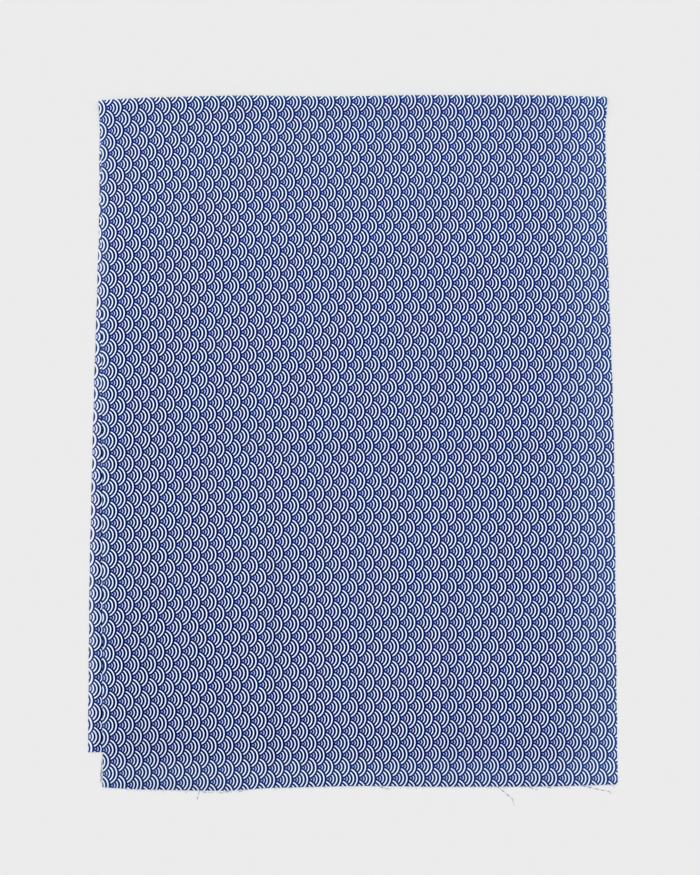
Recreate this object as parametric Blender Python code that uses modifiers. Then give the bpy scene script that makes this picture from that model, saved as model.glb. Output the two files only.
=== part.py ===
"""A tenugui, the thin cotton hand towel, lying folded once across its length.

The cloth is one rectangle cut from a narrow bolt: its long sides are selvedges and its short
ends are raw cuts with no hem. It lies with one soft fold at the far end (+Y), so that two layers
lie one on the other and both cut ends are at the near end (-Y). The upper layer is longer than
the lower one and has drifted a few millimetres to the right of it, so a strip of the lower layer
shows along the left side, and along the near and right sides the upper layer steps down onto
the surface.

Frame: metres, +Z up, X across the cloth, Y along it, and the origin on the surface under the
middle of the folded cloth.
"""

from collections import namedtuple

import bpy
import numpy as np

COLLECTION_NAME = "folded_tenugui"
CLOTH_NAME = "towel_cloth"

# The cloth: a sheet 0.340 m wide and 0.900 m long, a little thicker than the real cotton
CLOTH_THICKNESS = 0.0010
LAYER_GAP = 0.0008
LAYER_PITCH = CLOTH_THICKNESS + LAYER_GAP
FOLD_SWELL = 0.0005
FOLD_SWELL_RUN = 0.020
FOLD_RADIUS = (LAYER_PITCH + FOLD_SWELL) / 2
FOLD_REACH = FOLD_RADIUS + CLOTH_THICKNESS / 2

# Where the upper layer leaves the lower one, it keeps its height for a little, then steps down
STEP_START = 0.0008
STEP_RUN = 0.009

# The mesh that carries it: even squares, with closer lines at creases, steps and the fold
UPPER_PITCH = 0.016
LOWER_PITCH = 0.030
CLOSEST_LINES = 0.0028
FOLD_STEPS = 6

# Selvedges of the two layers: where they lie at each place along the cloth
SideRow = namedtuple("SideRow", "y left right")
UPPER_SIDES = (
    SideRow(y=-0.231, left=-0.1646, right=0.1741),
    SideRow(y=-0.110, left=-0.1658, right=0.1739),
    SideRow(y=-0.030, left=-0.1666, right=0.1739),
    SideRow(y=0.030, left=-0.1673, right=0.1731),
    SideRow(y=0.100, left=-0.1679, right=0.1713),
    SideRow(y=0.150, left=-0.1683, right=0.1702),
    SideRow(y=0.205, left=-0.1698, right=0.1703),
    SideRow(y=0.231, left=-0.1716, right=0.1717),
)
LOWER_SIDES = (
    SideRow(y=-0.208, left=-0.1741, right=0.1660),
    SideRow(y=-0.150, left=-0.1741, right=0.1666),
    SideRow(y=-0.100, left=-0.1743, right=0.1672),
    SideRow(y=-0.040, left=-0.1737, right=0.1684),
    SideRow(y=0.030, left=-0.1727, right=0.1683),
    SideRow(y=0.092, left=-0.1714, right=0.1686),
    SideRow(y=0.130, left=-0.1708, right=0.1690),
    SideRow(y=0.231, left=-0.1716, right=0.1717),
)

# The fold and the two raw ends: where they lie at each place across the cloth
EndRow = namedtuple("EndRow", "x y")
FOLD_LINE = (
    EndRow(x=-0.172, y=0.2275),
    EndRow(x=-0.154, y=0.2288),
    EndRow(x=-0.125, y=0.2307),
    EndRow(x=0.035, y=0.2309),
    EndRow(x=0.116, y=0.2314),
    EndRow(x=0.172, y=0.2302),
)
UPPER_CUT = (
    EndRow(x=-0.165, y=-0.2305),
    EndRow(x=-0.137, y=-0.2320),
    EndRow(x=-0.086, y=-0.2327),
    EndRow(x=-0.035, y=-0.2303),
    EndRow(x=0.130, y=-0.2299),
    EndRow(x=0.174, y=-0.2288),
)
LOWER_CUT = (
    EndRow(x=-0.174, y=-0.2077),
    EndRow(x=0.000, y=-0.2084),
    EndRow(x=0.166, y=-0.2070),
)

# Creases that were pressed into the upper layer when the towel was packed: troughs are
# negative and ridges positive. A crease across the cloth lies at y and runs from x to x, and
# one along the cloth lies at x and runs from y to y.
Crease = namedtuple("Crease", "along at start end height half_width")
CREASES = (
    Crease(along="x", at=-0.008, start=-0.190, end=0.190, height=-0.0005, half_width=0.007),
    Crease(along="x", at=0.008, start=-0.190, end=-0.055, height=-0.0003, half_width=0.006),
    Crease(along="x", at=0.138, start=-0.190, end=0.190, height=0.0004, half_width=0.008),
    Crease(along="y", at=-0.054, start=-0.240, end=-0.020, height=-0.0005, half_width=0.007),
    Crease(along="y", at=0.065, start=-0.240, end=-0.100, height=-0.0005, half_width=0.007),
    Crease(along="y", at=0.056, start=0.000, end=0.150, height=-0.0003, half_width=0.007),
)
CREASE_FADE = 0.030

# Broad shallow swells, where the upper layer doesn't lie quite flat on the lower one
Swell = namedtuple("Swell", "x y reach_x reach_y height")
SWELLS = (
    Swell(x=-0.105, y=0.085, reach_x=0.090, reach_y=0.110, height=0.0006),
    Swell(x=0.110, y=0.060, reach_x=0.080, reach_y=0.120, height=0.0005),
    Swell(x=0.005, y=-0.100, reach_x=0.070, reach_y=0.080, height=0.0006),
    Swell(x=-0.115, y=-0.130, reach_x=0.060, reach_y=0.060, height=0.0007),
    Swell(x=0.125, y=-0.150, reach_x=0.060, reach_y=0.070, height=0.0005),
)

# The look of the plain solid
COTTON_COLOR = (0.256, 0.300, 0.443, 1.0)
COTTON_ROUGHNESS = 0.9


def remove_all_objects():
    for thing in list(bpy.data.objects):
        bpy.data.objects.remove(thing, do_unlink=True)


def smoothstep(value):
    """0 below 0, 1 above 1, and 3v^2 - 2v^3 between."""
    value = np.clip(value, 0.0, 1.0)
    return value * value * (3.0 - 2.0 * value)


def curve_through(places, heights, wanted):
    """A smooth curve through the table's points: cubics that share their slope at each point.

    The slope at a point is the smaller of the slopes on its two sides, and none at a turning
    point, so the curve never swings past the table's own values.
    """
    places = np.asarray(places, dtype=float)
    heights = np.asarray(heights, dtype=float)
    chords = np.diff(heights) / np.diff(places)
    before = np.concatenate([chords[:1], chords])
    after = np.concatenate([chords, chords[-1:]])
    smaller = np.sign(before) * np.minimum(np.abs(before), np.abs(after))
    slopes = np.where(before * after > 0.0, smaller, 0.0)
    wanted = np.clip(wanted, places[0], places[-1])
    left = np.clip(np.searchsorted(places, wanted) - 1, 0, len(places) - 2)
    span = places[left + 1] - places[left]
    t = (wanted - places[left]) / span
    rise = smoothstep(t)
    start_slope = slopes[left] * span * t * (1.0 - t) ** 2
    end_slope = slopes[left + 1] * span * t * t * (t - 1.0)
    return heights[left] * (1.0 - rise) + heights[left + 1] * rise + start_slope + end_slope


def side_lines(rows, y):
    """Left and right selvedge of a layer at places y along the cloth."""
    places = [row.y for row in rows]
    left = curve_through(places, [row.left for row in rows], y)
    right = curve_through(places, [row.right for row in rows], y)
    return left, right


def end_line(rows, x):
    """Where a cut end or the fold lies, at places x across the cloth."""
    return curve_through([row.x for row in rows], [row.y for row in rows], x)


def on_lower_layer(x, y):
    """1 where the upper layer lies on the lower one, falling to 0 past its near and right edges."""
    past_right = x - side_lines(LOWER_SIDES, y)[1]
    past_cut = end_line(LOWER_CUT, x) - y
    past = np.maximum(past_right, past_cut)
    return 1.0 - smoothstep((past - STEP_START) / STEP_RUN)


def crease_height(crease, x, y):
    """A raised cosine across the crease, faded in at its start and out at its end."""
    if crease.along == "x":
        across, along = y - crease.at, x
    else:
        across, along = x - crease.at, y
    share = np.clip(np.abs(across) / crease.half_width, 0.0, 1.0)
    fade_in = smoothstep((along - crease.start) / CREASE_FADE)
    fade_out = smoothstep((crease.end - along) / CREASE_FADE)
    return crease.height * (0.5 + 0.5 * np.cos(np.pi * share)) * fade_in * fade_out


def swell_height(swell, x, y):
    """A low dome that falls to nothing at its reach."""
    share = np.hypot((x - swell.x) / swell.reach_x, (y - swell.y) / swell.reach_y)
    return swell.height * (1.0 - smoothstep(share))


def upper_height(x, y):
    """Height of the upper layer's middle: its step, the fold's swell, broad swells and creases."""
    to_fold = end_line(FOLD_LINE, x) - FOLD_REACH - y
    lift = LAYER_PITCH + FOLD_SWELL * (1.0 - smoothstep(to_fold / FOLD_SWELL_RUN))
    lift = lift + sum(swell_height(swell, x, y) for swell in SWELLS)
    troughs = np.zeros_like(x)
    ridges = np.zeros_like(x)
    for crease in CREASES:
        height = crease_height(crease, x, y)
        troughs = np.minimum(troughs, height)
        ridges = np.maximum(ridges, height)
    return CLOTH_THICKNESS / 2 + (lift + troughs + ridges) * on_lower_layer(x, y)


def grid_lines(start, end, pitch, extra):
    """Even lines from start to end, with extra ones where a crease or a step needs them."""
    even = np.linspace(start, end, round((end - start) / pitch) + 1)
    wanted = sorted(place for place in extra if start + pitch / 4 < place < end - pitch / 4)
    lines = list(wanted)
    for place in even:
        near = min((abs(place - other) for other in wanted), default=end - start)
        if near > pitch / 2:
            lines.append(place)
    lines = sorted(lines + [start, end])
    kept = [lines[0]]
    for place in lines[1:]:
        if place - kept[-1] > CLOSEST_LINES:
            kept.append(place)
    kept[-1] = end
    return np.array(kept)


def crease_lines(along):
    """Three lines for each crease: its middle and its two feet."""
    lines = []
    for crease in CREASES:
        if crease.along == along:
            lines += [crease.at - crease.half_width, crease.at, crease.at + crease.half_width]
    return lines


def shares_across():
    """Places across the cloth as shares of its width, closer at creases and the right edge."""
    left, right = side_lines(UPPER_SIDES, np.array(-0.1))
    step_lines = [right - STEP_START - STEP_RUN, right - STEP_RUN / 2]
    lines = grid_lines(left, right, UPPER_PITCH, crease_lines("y") + step_lines)
    return (lines - left) / (right - left)


def upper_layer(shares):
    """Points of the upper layer, from its cut end to the fold: rows along, columns across."""
    near, far = UPPER_CUT[0].y, FOLD_LINE[-1].y
    step_from = LOWER_CUT[0].y - STEP_START
    step_lines = [step_from, step_from - STEP_RUN / 3, step_from - STEP_RUN * 2 / 3]
    step_lines += [step_from - STEP_RUN, far - FOLD_SWELL_RUN, far - FOLD_SWELL_RUN / 3]
    lines = grid_lines(near, far, UPPER_PITCH, crease_lines("x") + step_lines)
    along = ((lines - near) / (far - near))[:, None]
    left, right = side_lines(UPPER_SIDES, lines)
    x = left[:, None] + (right - left)[:, None] * shares
    near_end = end_line(UPPER_CUT, x)
    far_end = end_line(FOLD_LINE, x) - FOLD_REACH
    y = lines[:, None] + (near_end - near) * (1.0 - along) ** 8 + (far_end - far) * along ** 8
    return np.stack([x, y, upper_height(x, y)], axis=-1)


def fold_turn(fold_start):
    """Half a turn about the fold's own line, from the upper layer down to the lower one."""
    angles = np.linspace(0.0, np.pi, FOLD_STEPS + 1)[1:-1, None]
    x, y, _ = fold_start.T
    turn_y = y + FOLD_RADIUS * np.sin(angles)
    turn_z = CLOTH_THICKNESS / 2 + FOLD_RADIUS * (1.0 + np.cos(angles))
    return np.stack([np.broadcast_to(x, turn_y.shape), turn_y, turn_z + 0.0 * x], axis=-1)


def lower_layer(shares, fold_start):
    """Points of the lower layer, flat on the surface, from the fold to its cut end."""
    near, far = LOWER_CUT[0].y, FOLD_LINE[-1].y
    lines = grid_lines(near, far, LOWER_PITCH, [])[::-1]
    along = ((far - lines) / (far - near))[:, None]
    left, right = side_lines(LOWER_SIDES, lines)
    x = left[:, None] + (right - left)[:, None] * shares
    near_end = end_line(LOWER_CUT, x)
    far_end = fold_start[:, 1]
    y = lines[:, None] + (near_end - near) * along ** 8 + (far_end - far) * (1.0 - along) ** 8
    x[0] = fold_start[:, 0]
    z = np.full_like(x, CLOTH_THICKNESS / 2)
    return np.stack([x, y, z], axis=-1)


def folded_surface():
    """The middle surface of the whole cloth, from the upper cut end round to the lower one."""
    shares = shares_across()
    upper = upper_layer(shares)
    turn = fold_turn(upper[-1])
    lower = lower_layer(shares, upper[-1])
    return np.concatenate([upper, turn, lower])


def make_cotton():
    material = bpy.data.materials.new("printed_cotton")
    material.use_nodes = True
    shader = material.node_tree.nodes["Principled BSDF"]
    shader.inputs["Base Color"].default_value = COTTON_COLOR
    shader.inputs["Roughness"].default_value = COTTON_ROUGHNESS
    shader.inputs["Metallic"].default_value = 0.0
    return material


def make_cloth(collection):
    """A flat grid laid into the folded shape, and given its thickness."""
    points = folded_surface()
    rows, columns = points.shape[:2]
    bpy.ops.mesh.primitive_grid_add(x_subdivisions=columns - 1, y_subdivisions=rows - 1)
    cloth = bpy.context.object
    cloth.name = CLOTH_NAME
    cloth.data.name = CLOTH_NAME
    cloth.data.vertices.foreach_set("co", points.reshape(-1).astype(np.float32))
    cloth.data.update()
    for owner in list(cloth.users_collection):
        owner.objects.unlink(cloth)
    collection.objects.link(cloth)
    thickness = cloth.modifiers.new("cloth_thickness", "SOLIDIFY")
    thickness.thickness = CLOTH_THICKNESS
    thickness.offset = 0.0
    thickness.use_quality_normals = True
    cloth.data.materials.append(make_cotton())
    cloth.data.shade_smooth()
    return cloth


def main():
    remove_all_objects()
    collection = bpy.data.collections.new(COLLECTION_NAME)
    bpy.context.scene.collection.children.link(collection)
    make_cloth(collection)


main()
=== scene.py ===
# %% [markdown]
# # A folded tenugui
# A tenugui is a thin cotton hand towel, about 34 x 90 cm, woven plain on a narrow loom and dyed
# with a pattern over its whole face. It has no hem: the long sides are selvedges, and the short
# ends are raw cuts that fray a little. This one lies on a pale surface, folded once, and shows
# rows of waves, the old seigaiha pattern, turned on its side.
#
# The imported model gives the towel's place and size. This script lays the real, thin cloth in that
# place, dyes it with shader nodes, frays its cut ends and lights it. Everything is in metres,
# with X across the cloth, Y along it towards the fold and Z up.

import math
from collections import namedtuple

import bpy
import numpy as np
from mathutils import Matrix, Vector


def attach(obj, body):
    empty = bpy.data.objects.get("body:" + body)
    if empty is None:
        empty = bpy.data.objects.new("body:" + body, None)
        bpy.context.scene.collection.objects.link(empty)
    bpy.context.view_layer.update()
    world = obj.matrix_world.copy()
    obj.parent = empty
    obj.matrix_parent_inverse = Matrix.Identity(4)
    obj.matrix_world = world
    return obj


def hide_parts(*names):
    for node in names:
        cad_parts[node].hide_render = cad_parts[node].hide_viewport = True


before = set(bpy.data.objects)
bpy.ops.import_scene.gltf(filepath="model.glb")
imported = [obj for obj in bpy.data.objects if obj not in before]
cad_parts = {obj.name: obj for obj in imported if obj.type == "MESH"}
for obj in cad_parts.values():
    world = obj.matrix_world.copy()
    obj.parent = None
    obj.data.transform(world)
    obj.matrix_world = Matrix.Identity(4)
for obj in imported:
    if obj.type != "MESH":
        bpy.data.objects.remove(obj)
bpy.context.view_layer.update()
print("packed nodes:", sorted(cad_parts))

# %% [markdown]
# ## Small tools
# Sizes are kept in short tables, whose first line names the columns. Colours are written as sRGB
# hex values, as a colour picker gives them, but a shader works with light, so one function turns
# them to linear values. Another adds a shader node, sets it up and links it. Three short ones on
# top of it do arithmetic, mix two colours and draw a ramp, which keeps the materials below short
# enough to read as recipes.


# %% Tables, colours and nodes
def table(columns, *rows):
    """Rows whose columns are read by name."""
    row_type = namedtuple("Row", columns)
    return [row_type(*row) for row in rows]


def linear(hex_color):
    """sRGB to linear: c / 12.92 up to 0.04045, and above it ((c + 0.055) / 1.055) to the 2.4."""
    shares = np.array([int(hex_color[at : at + 2], 16) for at in (1, 3, 5)]) / 255.0
    light = np.where(shares <= 0.04045, shares / 12.92, ((shares + 0.055) / 1.055) ** 2.4)
    return (*(float(value) for value in light), 1.0)


def add_node(tree, kind, feeds=(), wanted=0, **settings):
    """Adds one node and gives back one of its outputs, or the node itself if wanted is None.

    feeds is a list for the first sockets, or a dict by socket name or number. Each value is an
    output to link, or a constant; None leaves the socket as it is.
    """
    node = tree.nodes.new("ShaderNode" + kind)
    for name, value in settings.items():
        setattr(node, name, value)
    pairs = feeds.items() if isinstance(feeds, dict) else enumerate(feeds)
    for socket, value in pairs:
        if isinstance(value, bpy.types.NodeSocket):
            tree.links.new(value, node.inputs[socket])
        elif value is not None:
            node.inputs[socket].default_value = value
    return node if wanted is None else node.outputs[wanted]


def calc(tree, operation, *values, **settings):
    """One step of arithmetic. Each value is an output or a constant."""
    return add_node(tree, "Math", values, operation=operation, **settings)


def mix_colors(tree, share, first, second):
    """The first colour where share is 0 and the second where it is 1."""
    return add_node(tree, "MixRGB", [share, first, second])


def ramp(tree, value, start, end, before=0.0, after=1.0, kind="SMOOTHSTEP"):
    """before up to start, after from end on, and a smooth or a straight way between them."""
    feeds = [value, start, end, before, after]
    return add_node(tree, "MapRange", feeds, interpolation_type=kind)


def new_material(name, surface):
    """A node material with its output and a Principled shader already joined. surface gives the
    shader's plain numbers by socket name."""
    material = bpy.data.materials.new(name)
    material.use_nodes = True
    tree = material.node_tree
    tree.nodes.clear()
    shader = add_node(tree, "BsdfPrincipled", surface, wanted=None)
    add_node(tree, "OutputMaterial", {"Surface": shader.outputs["BSDF"]}, wanted=None)
    return material, tree, shader


print("white in linear light:", linear("#FFFFFF"))

# %% [markdown]
# ## The camera
# The photograph looks almost straight down, tilted a few degrees, so that the near end is a touch
# larger than the fold. A 50 mm lens about 0.8 m up gives that view.

# %% Camera over the towel
CAMERA_DISTANCE = 0.81
CAMERA_TILT = math.radians(2.5)
LOOKED_AT = Vector((-0.0017, 0.0, 0.0015))

camera_data = bpy.data.cameras.new("camera")
camera_data.lens = 50.0
camera_data.sensor_width = 36.0
camera_data.clip_start = 0.01
camera_data.clip_end = 50.0
camera = bpy.data.objects.new("camera", camera_data)
bpy.context.scene.collection.objects.link(camera)
away = Vector((0.0, -math.sin(CAMERA_TILT), math.cos(CAMERA_TILT)))
camera.location = LOOKED_AT + CAMERA_DISTANCE * away
camera.rotation_euler = (CAMERA_TILT, 0.0, 0.0)
bpy.context.scene.camera = camera
print("camera stands at", [round(value, 4) for value in camera.location])

# %% [markdown]
# ## The surface and the light
# A product photograph of a cloth is taken on a smooth pale sheet under large soft lights, with
# hardly a shadow. A pale room colour all round does most of that here. One broad lamp, high and
# from beyond the fold, adds just enough direction to show the creases. Because it is a sun lamp
# with a wide angle, it lights the whole floor evenly.

# %% Floor, room and lamp
FLOOR_DROP = 0.00005
FLOOR_HALF = 4.0
GRAINS_ACROSS = 900.0
PAPER_DARKEST = "#E2E2E2"
PAPER_PALEST = "#E4E4E4"
ROOM_LIGHT = 0.636
LAMP_LIGHT = 1.66
LAMP_ANGLE = math.radians(35.0)
LAMP_FROM = Vector((0.25, 0.55, 1.0))

floor_material, floor_tree, floor_shader = new_material(
    "matt_paper_floor", {"Roughness": 0.95, "Specular IOR Level": 0.0}
)
grain = add_node(floor_tree, "TexNoise", {"Scale": GRAINS_ACROSS, "Detail": 2.0})
paper = mix_colors(floor_tree, grain, linear(PAPER_DARKEST), linear(PAPER_PALEST))
floor_tree.links.new(paper, floor_shader.inputs["Base Color"])

corners = np.array([(-1, -1), (1, -1), (1, 1), (-1, 1)], dtype=float) * FLOOR_HALF
floor_mesh = bpy.data.meshes.new("floor")
floor_mesh.from_pydata([(x, y, -FLOOR_DROP) for x, y in corners.tolist()], [], [(0, 1, 2, 3)])
floor_mesh.materials.append(floor_material)
floor = bpy.data.objects.new("floor", floor_mesh)
bpy.context.scene.collection.objects.link(floor)

room = bpy.data.worlds.new("pale_room")
room.use_nodes = True
room.node_tree.nodes["Background"].inputs["Color"].default_value = (1.0, 1.0, 1.0, 1.0)
room.node_tree.nodes["Background"].inputs["Strength"].default_value = ROOM_LIGHT
bpy.context.scene.world = room

lamp_data = bpy.data.lights.new("soft_lamp", "SUN")
lamp_data.energy = LAMP_LIGHT
lamp_data.angle = LAMP_ANGLE
lamp = bpy.data.objects.new("soft_lamp", lamp_data)
lamp.rotation_euler = LAMP_FROM.to_track_quat("Z", "Y").to_euler()
bpy.context.scene.collection.objects.link(lamp)

bpy.context.scene.view_settings.view_transform = "Standard"
from_overhead = math.degrees(LAMP_FROM.angle(Vector((0.0, 0.0, 1.0))))
print("lamp stands", round(from_overhead), "degrees from overhead")

# %% [markdown]
# ## The cloth's measures
# The cloth is one rectangle. Where it lies comes from short tables: the two selvedges of each
# layer, the fold, and the two cut ends. The upper layer is the longer one and has drifted to the
# right, so a strip of the lower layer's reverse shows along the left. The solid towel is a
# thicker sheet laid from nearly the same tables, so the thin cloth lies where the solid does.

# %% Tables of the layers
CLOTH_WIDTH = 0.340
CLOTH_THICKNESS = 0.0004
LAYER_GAP = 0.0008
EDGE_GAP = 0.0001
EDGE_RUN = 0.014
FOLD_SWELL = 0.0005
FOLD_SWELL_RUN = 0.020
FOLD_RADIUS = (CLOTH_THICKNESS + LAYER_GAP + FOLD_SWELL) / 2
FOLD_REACH = FOLD_RADIUS + CLOTH_THICKNESS / 2
STEP_START = 0.0008
STEP_RUN = 0.009

UPPER_SIDES = table(
    "y left right",
    (-0.231, -0.1646, 0.1746),
    (-0.110, -0.1658, 0.1744),
    (-0.030, -0.1666, 0.1744),
    (0.030, -0.1673, 0.1736),
    (0.100, -0.1679, 0.1718),
    (0.150, -0.1683, 0.1706),
    (0.205, -0.1696, 0.1704),
    (0.231, -0.1714, 0.1717),
)
LOWER_SIDES = table(
    "y left right",
    (-0.208, -0.1745, 0.1660),
    (-0.150, -0.1745, 0.1666),
    (-0.100, -0.1745, 0.1672),
    (-0.040, -0.1738, 0.1684),
    (0.030, -0.1727, 0.1683),
    (0.092, -0.1714, 0.1686),
    (0.150, -0.1704, 0.1692),
    (0.200, -0.1706, 0.1701),
    (0.231, -0.1714, 0.1717),
)

FOLD_LINE = table(
    "x y",
    (-0.172, 0.2277),
    (-0.158, 0.2288),
    (-0.134, 0.2299),
    (-0.072, 0.2312),
    (-0.018, 0.2306),
    (0.056, 0.2315),
    (0.116, 0.2314),
    (0.172, 0.2303),
)
UPPER_CUT = table(
    "x y",
    (-0.165, -0.2306),
    (-0.137, -0.2321),
    (-0.086, -0.2329),
    (-0.052, -0.2310),
    (0.010, -0.2298),
    (0.060, -0.2303),
    (0.118, -0.2302),
    (0.174, -0.2288),
)
LOWER_CUT = table(
    "x y",
    (-0.174, -0.2077),
    (0.000, -0.2084),
    (0.166, -0.2070),
)
print("the fold is", round(2000 * FOLD_RADIUS, 2), "mm high inside the cloth")

# %% [markdown]
# ## Creases and swells
# The towel was packed small, and its old packing creases still show: soft troughs and ridges
# across and along the upper layer. Between them it doesn't lie quite flat. Each crease is placed
# where the towel has it, from a short table. A pressed trough is painted a shade darker and a
# ridge a shade lighter, so each crease has its own painted shade.
#
# The blue is also painted paler and lighter, which is painted light: on the fold and along the
# borders, a little towards the fold, and where the upper layer lies alone on the pale surface.
# Near the raw cut it is painted darker, which is painted shade, and broad patches are painted
# lighter, one darker.

# %% Tables of the creases and swells
# The shade column is painted light and shade in the colour: painted shade on a trough, painted
# light on a ridge.
CREASES = table(
    "along at start end height half_width shade",
    ("x", -0.009, -0.190, 0.190, -0.0006, 0.005, -0.06),
    ("x", 0.008, -0.190, -0.055, -0.0003, 0.005, -0.04),
    ("x", 0.136, -0.190, 0.190, 0.0004, 0.006, 0.03),
    ("x", 0.2185, -0.190, 0.140, -0.0002, 0.005, -0.05),
    ("x", -0.137, -0.190, -0.125, -0.0004, 0.005, -0.06),
    ("x", -0.161, -0.190, -0.080, 0.0003, 0.006, 0.04),
    ("y", -0.053, -0.240, -0.060, -0.0006, 0.006, -0.08),
    ("y", -0.063, -0.240, -0.020, 0.0003, 0.006, 0.04),
    ("y", 0.064, -0.240, -0.080, -0.0006, 0.006, -0.08),
    ("y", 0.054, -0.240, -0.020, 0.0003, 0.006, 0.04),
    ("y", 0.056, 0.000, 0.200, -0.0003, 0.006, -0.04),
)
CREASE_FADE = 0.030

# Painted light along the upper layer's borders, each falling off over its run: the first pair adds
# painted light, and at the cut painted shade, and the second pair pales the blue as painted light.
# Where the upper layer lies alone on the surface it is painted lighter and paler, and it is painted
# a little paler towards the fold.
Border = namedtuple("Border", "light light_run worn worn_run")
FOLD_BORDER = Border(light=0.05, light_run=0.008, worn=0.30, worn_run=0.0024)
LEFT_BORDER = Border(light=0.08, light_run=0.020, worn=0.08, worn_run=0.0060)
RIGHT_BORDER = Border(light=0.07, light_run=0.045, worn=0.06, worn_run=0.0500)
CUT_BORDER = Border(light=-0.12, light_run=0.004, worn=0.02, worn_run=0.0020)
ALONE_LIGHT = 0.05
ALONE_PAINTED_PALE = 0.035
FAR_PAINTED_PALE = 0.016
FAR_RUN = 0.130

# Broad patches of painted light, and at the near left one of painted shade.
LIGHT_PATCHES = table(
    "x y reach_x reach_y height",
    (-0.160, 0.170, 0.100, 0.140, 0.025),
    (-0.165, 0.224, 0.075, 0.016, 0.070),
    (-0.160, -0.180, 0.140, 0.160, -0.035),
)

SWELLS = table(
    "x y reach_x reach_y height",
    (-0.105, 0.085, 0.090, 0.110, 0.0006),
    (0.110, 0.060, 0.080, 0.120, 0.0005),
    (0.005, -0.100, 0.070, 0.080, 0.0006),
    (-0.115, -0.130, 0.060, 0.060, 0.0007),
    (0.125, -0.150, 0.060, 0.070, 0.0005),
)

RIPPLES = table(
    "wave_x wave_y height start",
    (0.083, 0.310, 0.00006, 0.4),
    (-0.140, 0.071, 0.00006, 2.1),
    (0.047, -0.190, 0.00004, 4.0),
    (0.230, 0.044, 0.00004, 1.2),
    (-0.036, 0.052, 0.000025, 5.3),
)
print(len(CREASES), "creases,", len(SWELLS), "swells and", len(RIPPLES), "ripples")

# %% [markdown]
# ## Smooth curves from the tables
# Straight lines between the tables' points would give the cloth corners, and a free spline would
# swing past them. Cubics whose slopes are kept small pass through the points and stay between.


# %% Curve functions
def smoothstep(value):
    """0 below 0, 1 above 1, and 3v^2 - 2v^3 between."""
    value = np.clip(value, 0.0, 1.0)
    return value * value * (3.0 - 2.0 * value)


def curve_through(places, heights, wanted):
    """Cubics through the points. The slope at a point is the smaller of its two chords' slopes,
    and none where the chords turn, so the curve never passes the table's own values."""
    places = np.asarray(places, dtype=float)
    heights = np.asarray(heights, dtype=float)
    chords = np.diff(heights) / np.diff(places)
    before = np.concatenate([chords[:1], chords])
    after = np.concatenate([chords, chords[-1:]])
    smaller = np.sign(before) * np.minimum(np.abs(before), np.abs(after))
    slopes = np.where(before * after > 0.0, smaller, 0.0)
    wanted = np.clip(wanted, places[0], places[-1])
    left = np.clip(np.searchsorted(places, wanted) - 1, 0, len(places) - 2)
    span = places[left + 1] - places[left]
    share = (wanted - places[left]) / span
    rise = smoothstep(share)
    start_slope = slopes[left] * span * share * (1.0 - share) ** 2
    end_slope = slopes[left + 1] * span * share * share * (share - 1.0)
    return heights[left] * (1.0 - rise) + heights[left + 1] * rise + start_slope + end_slope


def side_lines(rows, y):
    """Left and right selvedge of a layer at places y along the cloth."""
    places = [row.y for row in rows]
    left = curve_through(places, [row.left for row in rows], y)
    right = curve_through(places, [row.right for row in rows], y)
    return left, right


def end_line(rows, x):
    """Where a cut end or the fold lies, at places x across the cloth."""
    return curve_through([row.x for row in rows], [row.y for row in rows], x)


SPACING_SAMPLES = 6001


def spaced_lines(start, end, pitch, fine_pitch, fine_places):
    """Lines from start to end, pitch apart, and fine_pitch apart within reach of a fine place.

    1 / spacing is summed along the way, and the sum is cut into equal steps.
    """
    way = np.linspace(start, end, SPACING_SAMPLES)
    spacing = np.full_like(way, pitch)
    for place, reach in fine_places:
        spacing[np.abs(way - place) < reach] = fine_pitch
    lines_per_step = 0.5 * (1.0 / spacing[1:] + 1.0 / spacing[:-1]) * np.diff(way)
    count = np.concatenate([[0.0], np.cumsum(lines_per_step)])
    return np.interp(np.linspace(0.0, count[-1], round(count[-1]) + 1), count, way)


print("the right selvedge at the middle is at", side_lines(UPPER_SIDES, np.array([0.0]))[1], "m")

# %% [markdown]
# ## How high the upper layer lies
# The upper layer rests on the lower one, with a little air between, and comes down almost onto it
# near the edges. Past the lower layer's near and right edges it steps down onto the surface. A
# crease is a raised cosine across its line, and a swell is a low dome.


# %% Height of the upper layer
def lies_on_lower(x, y):
    """1 where the upper layer lies on the lower one, falling to 0 past its near and right edges."""
    past_right = x - side_lines(LOWER_SIDES, y)[1]
    past_cut = end_line(LOWER_CUT, x) - y
    return 1.0 - smoothstep((np.maximum(past_right, past_cut) - STEP_START) / STEP_RUN)


def away_from_edges(x, y):
    """0 at the edges, where the layers almost touch, and 1 well inside and near the fold."""
    from_left = x - side_lines(UPPER_SIDES, y)[0]
    from_right = side_lines(LOWER_SIDES, y)[1] - x
    from_cut = y - end_line(LOWER_CUT, x)
    inside = smoothstep(from_left / EDGE_RUN) * smoothstep(from_right / EDGE_RUN)
    inside = inside * smoothstep(from_cut / EDGE_RUN)
    to_fold = end_line(FOLD_LINE, x) - y
    return np.maximum(inside, 1.0 - smoothstep(to_fold / FOLD_SWELL_RUN))


def crease_height(crease, x, y):
    """height * (1 + cos(pi * share of the half width)) / 2, faded in and out at its ends."""
    across, way = (y - crease.at, x) if crease.along == "x" else (x - crease.at, y)
    share = np.clip(np.abs(across) / crease.half_width, 0.0, 1.0)
    ends = smoothstep((way - crease.start) / CREASE_FADE)
    ends = ends * smoothstep((crease.end - way) / CREASE_FADE)
    return crease.height * (0.5 + 0.5 * np.cos(np.pi * share)) * ends


def swell_height(swell, x, y):
    """A dome: height * (1 - smoothstep of the distance as a share of its reach)."""
    share = np.hypot((x - swell.x) / swell.reach_x, (y - swell.y) / swell.reach_y)
    return swell.height * (1.0 - smoothstep(share))


def ripple_height(ripple, x, y):
    """height * sin(2 pi (x / wave_x + y / wave_y) + start)."""
    return ripple.height * np.sin(
        2.0 * np.pi * (x / ripple.wave_x + y / ripple.wave_y) + ripple.start
    )


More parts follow.
